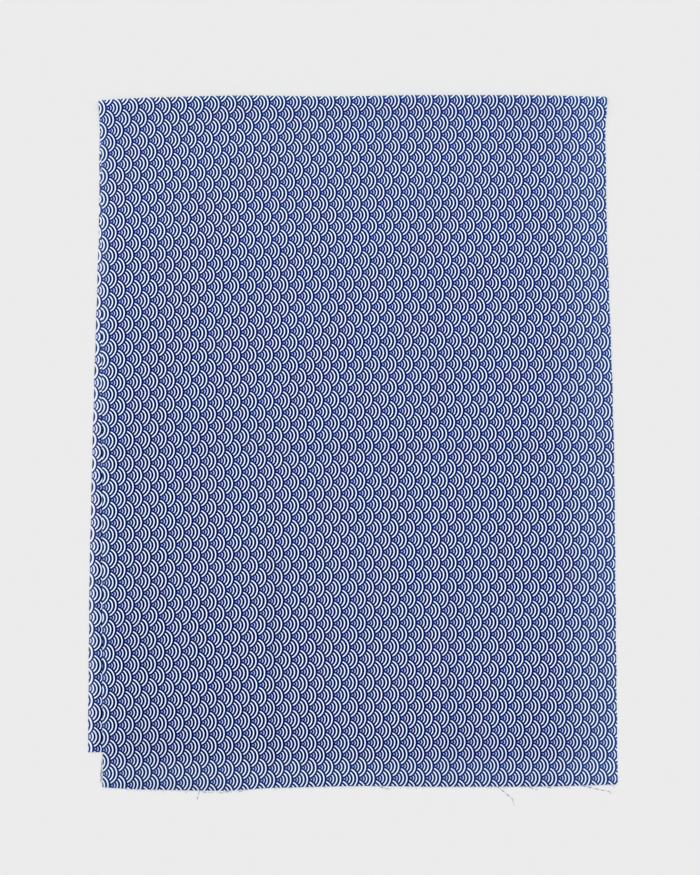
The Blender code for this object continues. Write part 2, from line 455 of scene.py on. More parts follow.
def upper_height(x, y):
    """Height of the upper layer's middle: half a thickness, and where it lies on the lower layer
    a whole one and the gap, which the creases, swells, ripples and the fold's swell change."""
    creases = np.stack([crease_height(crease, x, y) for crease in CREASES])
    relief = creases.min(axis=0) + creases.max(axis=0)
    relief = relief + sum(swell_height(swell, x, y) for swell in SWELLS)
    relief = relief + sum(ripple_height(ripple, x, y) for ripple in RIPPLES)
    to_fold = end_line(FOLD_LINE, x) - FOLD_REACH - y
    relief = relief + FOLD_SWELL * (1.0 - smoothstep(to_fold / FOLD_SWELL_RUN))
    gap = EDGE_GAP + (LAYER_GAP - EDGE_GAP + relief) * away_from_edges(x, y)
    return CLOTH_THICKNESS / 2 + (CLOTH_THICKNESS + gap) * lies_on_lower(x, y)


def crease_share(crease, x, y):
    """1 on the crease's line and 0 past its half width."""
    return crease_height(crease, x, y) / crease.height


def border_distances(x, y):
    """Each border of the upper layer, with the distance from it."""
    left, right = side_lines(UPPER_SIDES, y)
    return (
        (FOLD_BORDER, end_line(FOLD_LINE, x) - y),
        (LEFT_BORDER, x - left),
        (RIGHT_BORDER, right - x),
        (CUT_BORDER, y - end_line(UPPER_CUT, x)),
    )


def painted_light_share(x, y):
    """Painted light and shade: how much light the upper layer is painted to give back at each
    place,
    1 being even: the creases' painted shades, a little more where it lies alone on the surface, the
    borders' painted light and the cut's painted shade, falling off over its run, and a few broad
    painted patches."""
    share = 1.0 + sum(crease.shade * crease_share(crease, x, y) for crease in CREASES)
    share = share + ALONE_LIGHT * (1.0 - lies_on_lower(x, y))
    for border, distance in border_distances(x, y):
        share = share + border.light * (1.0 - smoothstep(distance / border.light_run))
    return share + sum(swell_height(patch, x, y) for patch in LIGHT_PATCHES)


def lit_and_worn_share(x, y):
    """How far the blue is paled by painted light at each place of the upper layer, from 0 to 1."""
    share = ALONE_PAINTED_PALE * (1.0 - lies_on_lower(x, y))
    share = share + FAR_PAINTED_PALE * (1.0 - smoothstep((end_line(FOLD_LINE, x) - y) / FAR_RUN))
    for border, distance in border_distances(x, y):
        share = share + border.worn * (1.0 - smoothstep(distance / border.worn_run))
    return share


print("the upper layer's middle lies", upper_height(np.array([0.1]), np.array([0.1])), "m up")

# %% [markdown]
# ## The folded sheet as one surface
# Every point of the cloth has two numbers: how far across it is, and how far along from the upper
# cut end. The upper layer runs to the fold, half a turn takes it round, and the lower layer runs
# back. Written as whole arrays, each of the three is a few lines.

# %% Middle surface of the cloth
LINE_PITCH = 0.0034
FINE_PITCH = 0.0014
LOWER_PITCH = 0.0075
FINE_AT_SELVEDGE = 0.003
FINE_AT_CUT = 0.002
FINE_AT_ENDS = 0.004
WIDTH_TAKEN_AT = -0.1
FOLD_STEPS = 14
END_PULL = 8
SELVEDGE_WAVE = 0.00012
LONG_WAVE = 0.0059
SHORT_WAVE = 0.0024
SHORT_SHARE = 0.6
RIGHT_START = 1.7
UPPER_START = 0.3
LOWER_START = 4.1


def lines_across():
    """Places across the cloth as shares of its width, closer at creases and at the edges."""
    left, right = (float(side) for side in side_lines(UPPER_SIDES, np.array(WIDTH_TAKEN_AT)))
    fine = [(crease.at, crease.half_width) for crease in CREASES if crease.along == "y"]
    fine += [(left, FINE_AT_SELVEDGE), (right - STEP_RUN / 2, STEP_RUN)]
    lines = spaced_lines(left, right, LINE_PITCH, FINE_PITCH, fine)
    return (lines - left) / (right - left)


def selvedge_wave(y, start):
    """A selvedge is never dead straight: two small sines, 37 and 15 mm long, which is 2 pi times
    LONG_WAVE and SHORT_WAVE."""
    long, short = np.sin(y / LONG_WAVE + start), np.sin(y / SHORT_WAVE + 2.0 * start)
    return SELVEDGE_WAVE * (long + SHORT_SHARE * short)


def layer_across(rows, y, shares, start):
    """x of a layer's points: shares of the way from the left selvedge to the right one."""
    left, right = side_lines(rows, y)
    left = left + selvedge_wave(y, start)
    right = right + selvedge_wave(y, start + RIGHT_START)
    return left[:, None] + (right - left)[:, None] * shares


def upper_layer(shares):
    """Points from the upper cut end to the fold: rows along the cloth, columns across."""
    near, far = UPPER_CUT[0].y, FOLD_LINE[-1].y
    fine = [(crease.at, crease.half_width) for crease in CREASES if crease.along == "x"]
    fine += [(LOWER_CUT[0].y - STEP_RUN / 2, STEP_RUN), (far, FINE_AT_ENDS), (near, FINE_AT_CUT)]
    lines = spaced_lines(near, far, LINE_PITCH, FINE_PITCH, fine)
    along = ((lines - near) / (far - near))[:, None]
    x = layer_across(UPPER_SIDES, lines, shares, UPPER_START)
    to_near = (end_line(UPPER_CUT, x) - near) * (1.0 - along) ** END_PULL
    to_far = (end_line(FOLD_LINE, x) - FOLD_REACH - far) * along**END_PULL
    y = lines[:, None] + to_near + to_far
    return np.stack([x, y, upper_height(x, y)], axis=-1)


def fold_turn(fold_start):
    """Half an ellipse from the upper layer down to the lower one, for each place across."""
    angles = np.linspace(0.0, np.pi, FOLD_STEPS + 1)[1:-1, None]
    x, y, z = fold_start.T
    rise = (z - CLOTH_THICKNESS / 2) / 2
    turn_y = y + FOLD_RADIUS * np.sin(angles)
    turn_z = CLOTH_THICKNESS / 2 + rise * (1.0 + np.cos(angles))
    return np.stack([np.broadcast_to(x, turn_y.shape), turn_y, turn_z], axis=-1)


def lower_layer(shares, fold_start):
    """Points from the fold back to the lower cut end, flat on the surface."""
    near, far = LOWER_CUT[0].y, FOLD_LINE[-1].y
    fine = [(near, FINE_AT_ENDS), (far, FINE_AT_ENDS)]
    lines = spaced_lines(near, far, LOWER_PITCH, FINE_PITCH, fine)[::-1]
    along = ((far - lines) / (far - near))[:, None]
    x = layer_across(LOWER_SIDES, lines, shares, LOWER_START)
    x = x + (fold_start[:, 0] - x[0]) * (1.0 - along) ** END_PULL
    to_near = (end_line(LOWER_CUT, x) - near) * along**END_PULL
    to_far = (fold_start[:, 1] - far) * (1.0 - along) ** END_PULL
    y = lines[:, None] + to_near + to_far
    return np.stack([x, y, np.full_like(x, CLOTH_THICKNESS / 2)], axis=-1)


shares = lines_across()
upper = upper_layer(shares)
turn = fold_turn(upper[-1])
lower = lower_layer(shares, upper[-1])
middle = np.concatenate([upper, turn, lower])
upper_rows, fold_rows = len(upper), len(upper) + len(turn)
print("lines along and across:", middle.shape[:2])

# %% [markdown]
# ## Places on the cloth
# Weaving and dyeing happened while the cloth was flat, so both are drawn in places on the flat
# cloth: millimetres across from the left selvedge and along from the upper cut end. On the upper
# layer the place along is read straight from Y, because the raw cut wanders over the weave. Round
# the fold it is the distance walked. The fold isn't quite square to the cloth, so on the lower
# layer, out of sight, the places settle back into straight lines across.


# %% Flat places of every point
def steps_along(points):
    """Distance from each row of points to the next, summed from the first row."""
    steps = np.linalg.norm(np.diff(points, axis=0), axis=-1)
    return np.concatenate([np.zeros((1, points.shape[1])), np.cumsum(steps, axis=0)])


CUT_PLACE = -0.229
LOWER_PLACE = 0.6923
SETTLE_RUN = 0.090
place_across = np.broadcast_to(shares * CLOTH_WIDTH, middle.shape[:2])
past_upper = steps_along(middle[upper_rows - 1 :])
place_along = np.concatenate(
    [upper[:-1, :, 1] - CUT_PLACE, upper[-1, :, 1] - CUT_PLACE + past_upper]
)
settled = smoothstep((upper[-1, :, 1] - lower[..., 1]) / SETTLE_RUN)
place_along[fold_rows:] += settled * (LOWER_PLACE - lower[..., 1] - place_along[fold_rows:])
cloth_mm = 1000.0 * np.stack([place_across, place_along], axis=-1)
print("cloth length at the left and right:", cloth_mm[-1, [0, -1], 1].round(1), "mm")

# %% [markdown]
# ## Where the print lies on the cloth
# The pattern repeats every 11 mm across and 15.6 mm along. On the loom and in the dye works a
# narrow cloth gets pulled: the rows of waves run a little downhill across it, which is called
# skew, and sag in the middle, which is called bow. Two numbers draw both. A short table adds how
# far the print wanders along the cloth's length, and one tug moves it near the left selvedge.

# %% Print places with skew, bow and drift
PRINT_START_ACROSS = 9.70
PRINT_START_ALONG = 2.36
PRINT_SKEW = -2.32
PRINT_BOW = 2.37
HALF_WIDTH_MM = 500.0 * CLOTH_WIDTH

PRINT_DRIFT = table(
    "along shift_across shift_along",
    (0.0, 0.45, 1.55),
    (115.0, 0.10, 0.50),
    (230.0, 0.00, 0.00),
    (345.0, 0.10, 0.05),
    (461.0, 0.50, 0.65),
    (600.0, -3.25, -1.74),
    (690.0, -3.25, -1.14),
    (747.0, -3.38, -1.30),
    (811.0, -3.50, -1.75),
    (860.0, -3.65, -2.20),
    (891.0, -3.65, -2.50),
)
TUG_PLACE = (15.0, 86.0)
TUG_REACH = (170.0, 42.0)
TUG_SHIFT = 2.0


def print_places(cloth_places):
    """Place in the print, in mm: the cloth's own place, plus skew * s and bow * s^2, where s runs
    from -1 at one selvedge to 1 at the other, plus the drift table's shifts and the tug."""
    across, along = cloth_places[..., 0], cloth_places[..., 1]
    side = across / HALF_WIDTH_MM - 1.0
    rows = [row.along for row in PRINT_DRIFT]
    shift_across = curve_through(rows, [row.shift_across for row in PRINT_DRIFT], along)
    shift_along = curve_through(rows, [row.shift_along for row in PRINT_DRIFT], along)
    from_tug = np.hypot(
        (across - TUG_PLACE[0]) / TUG_REACH[0], (along - TUG_PLACE[1]) / TUG_REACH[1]
    )
    shift_across = shift_across + TUG_SHIFT * (1.0 - smoothstep(from_tug))
    shift_along = shift_along + PRINT_SKEW * side + PRINT_BOW * side**2
    start = np.array([PRINT_START_ACROSS, PRINT_START_ALONG])
    return cloth_places + start + np.stack([shift_across, shift_along], axis=-1)


print("print place of the near left corner:", print_places(cloth_mm[0, 0]).round(2), "mm")

# %% [markdown]
# ## From the surface to a closed cloth
# A sheet with no thickness looks wrong at its edges, so the two faces lie half a thickness out
# from the middle, and a rounded rim joins them along the selvedges. A loop of points goes once
# round the cloth's cross-section: over the face, round the right rim, back under the reverse and
# round the left rim. Rows of such loops make the sheet, and the two raw ends are closed.


# %% Closed shell of the cloth
def surface_normals(points):
    """Cross product of the steps across and along, made one long."""
    normals = np.cross(np.gradient(points, axis=1), np.gradient(points, axis=0))
    return normals / np.linalg.norm(normals, axis=-1, keepdims=True)


def loops_round(points, normals, half):
    """Points of the loops: face, right rim, reverse backwards, left rim."""
    outward = points[:, -1:] - points[:, -2:-1]
    outward = half * outward / np.linalg.norm(outward, axis=-1, keepdims=True)
    inward = points[:, :1] - points[:, 1:2]
    inward = half * inward / np.linalg.norm(inward, axis=-1, keepdims=True)
    face, reverse = points + half * normals, points - half * normals
    parts = [face, points[:, -1:] + outward, reverse[:, ::-1], points[:, :1] + inward]
    return np.concatenate(parts, axis=1)


def round_trip(values):
    """The same order of loops for values given once for each place across."""
    parts = [values, values[:, -1:], values[:, ::-1], values[:, :1]]
    return np.concatenate(parts, axis=1)


rows, columns = middle.shape[:2]
loop_length = 2 * columns + 2
shell = loops_round(middle, surface_normals(middle), CLOTH_THICKNESS / 2)
shell_places = round_trip(cloth_mm)
number = np.arange(rows * loop_length).reshape(rows, loop_length)
ahead = np.roll(number, -1, axis=1)
sides = np.stack([number[:-1], ahead[:-1], ahead[1:], number[1:]], axis=-1)

face_order = np.arange(columns)
reverse_order = 2 * columns - face_order
round_end = [face_order[:-1], reverse_order[:-1], reverse_order[1:], face_order[1:]]
near_end = number[0][np.stack(round_end, axis=-1)]
far_end = near_end[:, ::-1] + (rows - 1) * loop_length
rim_ends = np.array(
    [
        (number[0, columns - 1], number[0, columns + 1], number[0, columns]),
        (number[0, 0], number[0, -1], number[0, 2 * columns]),
        (number[-1, columns - 1], number[-1, columns], number[-1, columns + 1]),
        (number[-1, 0], number[-1, 2 * columns], number[-1, -1]),
    ]
)
print("points in the shell:", shell.shape[0] * shell.shape[1], "squares:", sides[..., 0].size)

# %% [markdown]
# ## A mesh from arrays
# One function turns arrays into a Blender mesh and gives it two UV maps: cloth_mm, the place on
# the flat cloth, and print_mm, the place in the print. UV values may be any numbers, so both
# are plain millimetres, and the shaders can be written with the real sizes.


# %% Mesh builder
def make_piece(name, points, faces, cloth_places, material):
    """A mesh object from an array of points and a list of face arrays, with its two UV maps."""
    mesh = bpy.data.meshes.new(name)
    face_rows = [face for group in faces for face in group.tolist()]
    mesh.from_pydata(points.reshape(-1, 3).tolist(), [], face_rows)
    corner_points = np.empty(len(mesh.loops), dtype=np.int64)
    mesh.loops.foreach_get("vertex_index", corner_points)
    places = cloth_places.reshape(-1, 2)
    for map_name, values in (("cloth_mm", places), ("print_mm", print_places(places))):
        layer = mesh.uv_layers.new(name=map_name)
        layer.uv.foreach_set("vector", values[corner_points].astype(np.float32).ravel())
    mesh.materials.append(material)
    mesh.shade_smooth()
    piece = bpy.data.objects.new(name, mesh)
    bpy.context.scene.collection.objects.link(piece)
    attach(piece, "root")
    return piece


def mark_points(piece, name, values):
    """Writes one number for each point, which a material reads by its name."""
    mark = piece.data.attributes.new(name, "FLOAT", "POINT")
    mark.data.foreach_set("value", values.astype(np.float32).ravel())


# %% [markdown]
# ## The wave print
# Seigaiha is made of fans. Each fan is a set of rings round a point, the fans stand in columns,
# every second column is shifted by half a repeat, and each column lies over the next one. Here
# the columns run along the cloth and the arcs open to the left. So at any place the shader asks
# three columns in turn, and the last fan whose front circle holds the place is the one seen.
# The rings' circles aren't quite concentric, which makes the outer rings broader at the front,
# as on a hand-cut stencil.

# %% Table of the fan's rings, in millimetres
COLUMN = 5.4815
REPEAT = 15.557
FRONT_OFFSET = 2.14
FRONT_RADIUS = 7.89
DYE_SPREAD = 0.20

RINGS = table(
    "offset radius half_width bareness",
    (-0.15, 0.00, 0.54, 0.95),
    (-0.13, 1.80, 0.31, 1.00),
    (0.00, 3.54, 0.37, 1.00),
    (0.85, 4.93, 0.44, 1.00),
    (1.51, 6.66, 0.45, 1.00),
)


def distance_from(tree, place, offset):
    """How far a place is from the point on the fan's axis that lies offset from its middle."""
    feeds = [place, (offset, 0.0, 0.0)]
    return add_node(tree, "VectorMath", feeds, 1, operation="DISTANCE")


def fan_place(tree, print_place):
    """Place in the fan that is seen, in mm from its middle: chosen from three columns."""
    across, along, _ = add_node(tree, "SeparateXYZ", [print_place], wanted=None).outputs
    columns_in = calc(tree, "DIVIDE", across, COLUMN)
    column = calc(tree, "FLOOR", columns_in)
    inside = calc(tree, "FLOORED_MODULO", columns_in, 1.0)
    odd = calc(tree, "FLOORED_MODULO", column, 2.0)
    shift = calc(tree, "MULTIPLY", odd, REPEAT / 2)
    own = calc(tree, "SUBTRACT", along, shift)
    own = calc(tree, "WRAP", own, -REPEAT / 2, REPEAT / 2)
    other = calc(tree, "ADD", own, REPEAT / 2)
    other = calc(tree, "WRAP", other, -REPEAT / 2, REPEAT / 2)
    seen = None
    for columns_back, height in ((-1, other), (0, own), (1, other)):
        forward = calc(tree, "ADD", inside, float(columns_back))
        forward = calc(tree, "MULTIPLY", forward, COLUMN)
        place = add_node(tree, "CombineXYZ", [forward, height])
        if seen is None:
            seen = place
            continue
        from_front = distance_from(tree, place, FRONT_OFFSET)
        in_front = calc(tree, "LESS_THAN", from_front, FRONT_RADIUS)
        seen = add_node(tree, "Mix", {0: in_front, 4: seen, 5: place}, 1, data_type="VECTOR")
    return seen


def bare_cloth(tree, print_place, widening):
    """Three outputs: 1 where the stencil kept the dye off and 0 in the blue, from the strongest
    of the fan's rings; how far the nearest ring's edge is, in mm; and how far the fan's middle."""
    place = fan_place(tree, print_place)
    from_middle = add_node(tree, "VectorMath", [place], 1, operation="LENGTH")
    bare, nearest = 0.0, REPEAT
    for ring in RINGS:
        off = calc(tree, "SUBTRACT", distance_from(tree, place, ring.offset), ring.radius)
        off = calc(tree, "ABSOLUTE", off)
        off = calc(tree, "SUBTRACT", off, widening)
        near, far = ring.half_width - DYE_SPREAD, ring.half_width + DYE_SPREAD
        shown = ramp(tree, off, near, far, ring.bareness, 0.0)
        bare = calc(tree, "MAXIMUM", bare, shown)
        edge = calc(tree, "SUBTRACT", off, ring.half_width)
        nearest = calc(tree, "MINIMUM", nearest, edge)
    return bare, nearest, from_middle


print(len(RINGS), "rings in a fan, columns", COLUMN, "mm apart")

# %% [markdown]
# ## The weave
# Tenugui cotton is woven plain, each thread over one and under the next, with about 18 threads to
# the centimetre, so a thread is 0.55 mm wide. That is finer than a pixel of the main picture, so
# there it only softens the light. Uneven spinning leaves thicker stretches, called slubs, which
# show from further away as faint streaks along both sets of threads. They are drawn 1.3 mm wide,
# which is meant to be a little broad, so that they show at all.

# %% Threads and slubs
THREAD_PITCH = 0.55
SLUB_WIDTH = 1.3
SLUB_LENGTH = 45.0


def plain_weave(tree, cloth_place):
    """Height of the threads, from 0 to 1: triangle waves, two threads long and rounded by
    smoothstep, one running across and one along, taken in turn from thread to thread."""
    crests, steps = [], []
    for along in add_node(tree, "SeparateXYZ", [cloth_place], wanted=None).outputs[:2]:
        threads = calc(tree, "DIVIDE", along, THREAD_PITCH)
        steps.append(calc(tree, "FLOOR", threads))
        crests.append(calc(tree, "PINGPONG", threads, 1.0))
    crests = [ramp(tree, crest, 0.0, 1.0) for crest in crests]
    both = calc(tree, "ADD", *steps)
    over = calc(tree, "FLOORED_MODULO", both, 2.0)
    return add_node(tree, "Mix", [over, None, crests[0], crests[1]])


def slubs(tree, cloth_place, stretch):
    """Streaks from -0.5 to 0.5: noise drawn out along one set of threads."""
    stretched = add_node(tree, "Mapping", {0: cloth_place, "Scale": stretch})
    noise = add_node(tree, "TexNoise", {"Vector": stretched, "Scale": 1.0, "Detail": 3.0})
    return calc(tree, "SUBTRACT", noise, 0.5)


# %% [markdown]
# ## Printed cotton
# The dye is a deep royal blue, taken here as printed from the face. The thin lines between the
# rings are navy, as if it gathered along the stencil's edges, and only the wedges between the fans
# are brighter.
# Where it thins out, at the very edge of a line, it isn't a mix of navy and white: thin dye lets
# blue light through first, so the edge is a clear mid blue.
# The cotton under it is bleached, a cool white. Round the small dots in the fans' middles a little
# dye creeps in under the stencil, which turns them lavender. The cloth is matt, with the faint
# sheen that loose fibre ends give at a low angle. The blue is painted darker at the near left and
# lighter towards the fold and the right, which is painted light. On the fold, along the borders
# and where the upper layer lies alone it is also painted paler, as painted light, and it pales
# towards the right selvedge. The reverse shows only near its selvedge, where the lines are thinner
# and greyer. It is drawn as dark as the face farther in.

# %% The cotton material
COTTON_WHITE = "#E8F1FC"
DOT_LAVENDER = "#96A7DC"
THIN_DYE = "#3A60E2"
CLEAR_BLUE = "#3C8EDC"
LIT_AND_WORN_BLUE = "#7094CE"
DYE_NAVY = "#020D30"
DYE_ROYAL = "#05196C"
REVERSE_BLUE = "#3E4A72"
COTTON_SURFACE = {
    "Roughness": 0.88,
    "IOR": 1.5,
    "Specular IOR Level": 0.04,
    "Sheen Weight": 0.02,
    "Sheen Roughness": 0.5,
}

# Places and reaches on the cloth, in millimetres
LAVENDER_NEAR = 0.5
LAVENDER_FAR = 3.0
GATHER_NEAR = 0.35
GATHER_FAR = 1.10
PALE_RUN = 6.0
PALE_WIDENING = 0.22
SELVEDGE_START = 339.2
FOLD_PLACE = 460.0
CLOUD_SIZE = 50.0

# Strengths: how much each thing changes the blue, the painted light and shade, or the bump
SELVEDGE_PALE = 0.08
LIT_AND_WORN_THIN = 8.0
CLOUD_DEPTH = 0.16
BLUE_LEAST_LIT = 0.55
PAINTED_LIGHT_ACROSS = 0.50
PAINTED_LIGHT_ALONG = 0.40
EVEN_LIGHT = 0.97
LIGHT_ALONG = 0.05
STREAK_LIGHT = 0.10
WEAVE_LIGHT = 0.05
STREAK_BUMP = 1.2
BUMP_STRENGTH = 0.5
BUMP_DEPTH = 0.00006


def printed_cotton(name, dye_left):
    """The cloth's material. dye_left is how much of the blue the yarn still carries."""
    material, tree, shader = new_material(name, COTTON_SURFACE)
    cloth_place = add_node(tree, "UVMap", uv_map="cloth_mm")
    print_place = add_node(tree, "UVMap", uv_map="print_mm")
    reverse, worn, painted_light = (
        add_node(tree, "Attribute", wanted="Fac", attribute_name=mark)
        for mark in ("reverse_side", "lit_and_worn_share", "painted_light_share")
    )
    across, along, _ = add_node(tree, "SeparateXYZ", [cloth_place], wanted=None).outputs
    to_fold = calc(tree, "PINGPONG", along, FOLD_PLACE)
    pale = calc(tree, "MULTIPLY", ramp(tree, across, 0.0, PALE_RUN, 1.0, 0.0), reverse)
    widening = calc(tree, "MULTIPLY", pale, PALE_WIDENING)
    bare, nearest, from_middle = bare_cloth(tree, print_place, widening)

    warp = slubs(tree, cloth_place, (1.0 / SLUB_WIDTH, 1.0 / SLUB_LENGTH, 1.0))
    weft = slubs(tree, cloth_place, (1.0 / SLUB_LENGTH, 1.0 / SLUB_WIDTH, 1.0))
    streaks = calc(tree, "ADD", warp, weft)
    weave = plain_weave(tree, cloth_place)
    cloud_scale = (1.0 / CLOUD_SIZE, 1.0 / CLOUD_SIZE, 1.0)
    cloud_place = add_node(tree, "Mapping", {0: cloth_place, "Scale": cloud_scale})
    clouds = add_node(tree, "TexNoise", {"Vector": cloud_place, "Scale": 1.0, "Detail": 2.0})

    open_dye = ramp(tree, nearest, GATHER_NEAR, GATHER_FAR)
    blue = mix_colors(tree, open_dye, linear(DYE_NAVY), linear(DYE_ROYAL))
    blue = mix_colors(tree, pale, blue, linear(REVERSE_BLUE))
    width = 1000.0 * CLOTH_WIDTH
    # Painted light: the blue is painted darker at the near left and lighter across towards the
    # right and along towards the fold, over random clouds in its tone.
    blue_tone_and_light = calc(tree, "MULTIPLY_ADD", clouds, CLOUD_DEPTH, BLUE_LEAST_LIT - CLOUD_DEPTH / 2)
    blue_tone_and_light = calc(tree, "MULTIPLY_ADD", across, PAINTED_LIGHT_ACROSS / width, blue_tone_and_light)
    blue_tone_and_light = calc(tree, "MULTIPLY_ADD", to_fold, PAINTED_LIGHT_ALONG / FOLD_PLACE, blue_tone_and_light)
    blue = add_node(tree, "VectorMath", {0: blue, 3: blue_tone_and_light}, operation="SCALE")
    # The blue is paled towards the right selvedge and by the painted light of the borders, the fold
    # and the single layer; on the frayed yarn the same mark is the yarn's own paler colour.
    to_selvedge = ramp(tree, across, SELVEDGE_START, width, 0.0, SELVEDGE_PALE, kind="LINEAR")
    worn = calc(tree, "ADD", worn, to_selvedge)
    blue = mix_colors(tree, worn, blue, linear(LIT_AND_WORN_BLUE))
    lit_and_worn_thin = calc(tree, "MULTIPLY", worn, LIT_AND_WORN_THIN, use_clamp=True)
    thin = mix_colors(tree, lit_and_worn_thin, linear(THIN_DYE), linear(CLEAR_BLUE))
    clean = ramp(tree, from_middle, LAVENDER_NEAR, LAVENDER_FAR, kind="LINEAR")
    white = mix_colors(tree, clean, linear(DOT_LAVENDER), linear(COTTON_WHITE))
    thinned = ramp(tree, bare, 0.0, 0.5, kind="LINEAR")
    blue = mix_colors(tree, thinned, blue, thin)
    dyed = mix_colors(tree, dye_left, linear(COTTON_WHITE), blue)
    cleared = ramp(tree, bare, 0.5, 1.0, kind="LINEAR")
    cloth = mix_colors(tree, cleared, dyed, white)

    # The base colour is multiplied by the light given back: an even level, the slubs' streaks,
    # painted light that grows a little towards the fold, painted light on the weave's crests and
    # painted shade in its hollows, and the upper layer's painted light and shade.
    light = calc(tree, "MULTIPLY_ADD", streaks, STREAK_LIGHT, EVEN_LIGHT - LIGHT_ALONG / 2)
    light = calc(tree, "MULTIPLY_ADD", to_fold, LIGHT_ALONG / FOLD_PLACE, light)
    light = calc(tree, "MULTIPLY_ADD", weave, WEAVE_LIGHT, light)
    light = calc(tree, "MULTIPLY", light, painted_light)
    cloth = add_node(tree, "VectorMath", {0: cloth, 3: light}, operation="SCALE")
    tree.links.new(cloth, shader.inputs["Base Color"])

    height = calc(tree, "MULTIPLY_ADD", streaks, STREAK_BUMP, weave)
    bump = {"Strength": BUMP_STRENGTH, "Distance": BUMP_DEPTH, "Height": height}
    tree.links.new(add_node(tree, "Bump", bump), shader.inputs["Normal"])
    return material


cotton = printed_cotton("printed_plain_weave_cotton", 1.0)
print("nodes in the cotton:", len(cotton.node_tree.nodes))

# %% [markdown]
# ## The towel itself
# Now the arrays, the mesh builder and the material come together. Where the rim and the raw ends
# meet the faces, the angle is sharp, so the smooth shading is split there.

# %% The towel
SHARP_ANGLE = math.radians(50.0)

towel = make_piece(
    "folded_towel", shell, [sides.reshape(-1, 4), near_end, far_end, rim_ends], shell_places, cotton
)
towel.data.set_sharp_from_angle(angle=SHARP_ANGLE)
on_reverse = np.zeros((rows, loop_length))
on_reverse[:, columns + 1 : 2 * columns + 1] = 1.0
mark_points(towel, "reverse_side", on_reverse)
# Painted light and shade, and the blue's paling by painted light, for the upper layer and round the
# fold; the rest of the cloth stays even.
seen_rows = middle[:fold_rows]
painted_light, worn = np.ones((rows, columns)), np.zeros((rows, columns))
painted_light[:fold_rows] = painted_light_share(seen_rows[..., 0], seen_rows[..., 1])
worn[:fold_rows] = lit_and_worn_share(seen_rows[..., 0], seen_rows[..., 1])
mark_points(towel, "painted_light_share", round_trip(painted_light) * (1.0 - on_reverse) + on_reverse)
mark_points(towel, "lit_and_worn_share", round_trip(worn) * (1.0 - on_reverse))
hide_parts("towel_cloth")
print("faces in the towel:", len(towel.data.polygons))

# %% [markdown]
# ## A map for baking
# The export paints the towel's colours into one square picture. Left to itself it would give the
# hidden inner faces as much room as the printed face. A third UV map, named for the bake, gives
# most of the square to the face that is seen, at the same scale the strip at the left, and
# squeezes the rest into what is left over.

# %% Bake map
BakeArea = namedtuple("BakeArea", "left bottom per_m_across per_m_along from_along")
SEEN_SCALE = 2.10
SIDE_SCALE = 0.63
SIDE_LEFT = 0.780
BAKE_BOTTOM = 0.008
STRIP_WIDTH = 0.013
FACE_AREA = BakeArea(0.004, BAKE_BOTTOM, SEEN_SCALE, SEEN_SCALE, -0.003)
STRIP_AREA = BakeArea(0.726, BAKE_BOTTOM, SEEN_SCALE, SEEN_SCALE, 0.455)
UNDER_AREA = BakeArea(SIDE_LEFT, BAKE_BOTTOM, SIDE_SCALE, 1.25, 0.460)
INNER_UPPER_AREA = BakeArea(SIDE_LEFT, 0.582, SIDE_SCALE, 0.42, -0.003)
INNER_LOWER_AREA = BakeArea(SIDE_LEFT, 0.790, SIDE_SCALE, 0.42, 0.455)
RIM_LEFTS = (0.760, 0.768)
RIM_WIDTH = 0.004
RIM_SCALE = 1.08
RIM_LONGEST = 0.905
END_BOTTOMS = (0.9850, 0.9925)
END_WIDTH = 0.2
END_HEIGHT = 0.004
CORNER_PLACE = 0.990
CORNER_TRIANGLE = ((0.0, 0.0), (0.004, 0.0), (0.002, 0.003))


def laid_in(area, places):
    """Bake place of cloth places: the area's corner plus its scales times the place in metres."""
    across = area.left + area.per_m_across * places[..., 0] / 1000.0
    along = area.bottom + area.per_m_along * (places[..., 1] / 1000.0 - area.from_along)
    return np.stack([across, along], axis=-1)


corner_loops = sides % loop_length
corner_places = shell_places.reshape(-1, 2)[sides]
row_of_face = np.arange(rows - 1)[:, None]
loop_of_face = np.arange(loop_length)[None, :]
is_face = loop_of_face < columns - 1
is_reverse = (loop_of_face > columns) & (loop_of_face < 2 * columns)
is_upper = row_of_face < fold_rows
in_strip = corner_places[..., 0].max(axis=-1) < 1000.0 * STRIP_WIDTH
choices = [
    (is_face & is_upper, FACE_AREA),
    (is_face & ~is_upper, UNDER_AREA),
    (is_reverse & is_upper, INNER_UPPER_AREA),
    (is_reverse & ~is_upper & ~in_strip, INNER_LOWER_AREA),
    (is_reverse & ~is_upper & in_strip, STRIP_AREA),
]
bake_places = np.zeros(corner_places.shape)
for chosen, area in choices:
    bake_places = np.where(chosen[..., None, None], laid_in(area, corner_places), bake_places)
rim_walked = np.clip(corner_places[..., 1] / 1000.0, 0.0, RIM_LONGEST)
rim_along = BAKE_BOTTOM + RIM_SCALE * rim_walked
for rim_left, first_loop in zip(RIM_LEFTS, (columns - 1, 2 * columns)):
    is_rim = ((loop_of_face == first_loop) | (loop_of_face == first_loop + 1))[..., None, None]
    steps = np.mod(corner_loops - first_loop, loop_length)
    across = rim_left + 0.5 * RIM_WIDTH * steps
    rim_places = np.stack([across, rim_along], axis=-1)
    bake_places = np.where(is_rim, rim_places, bake_places)

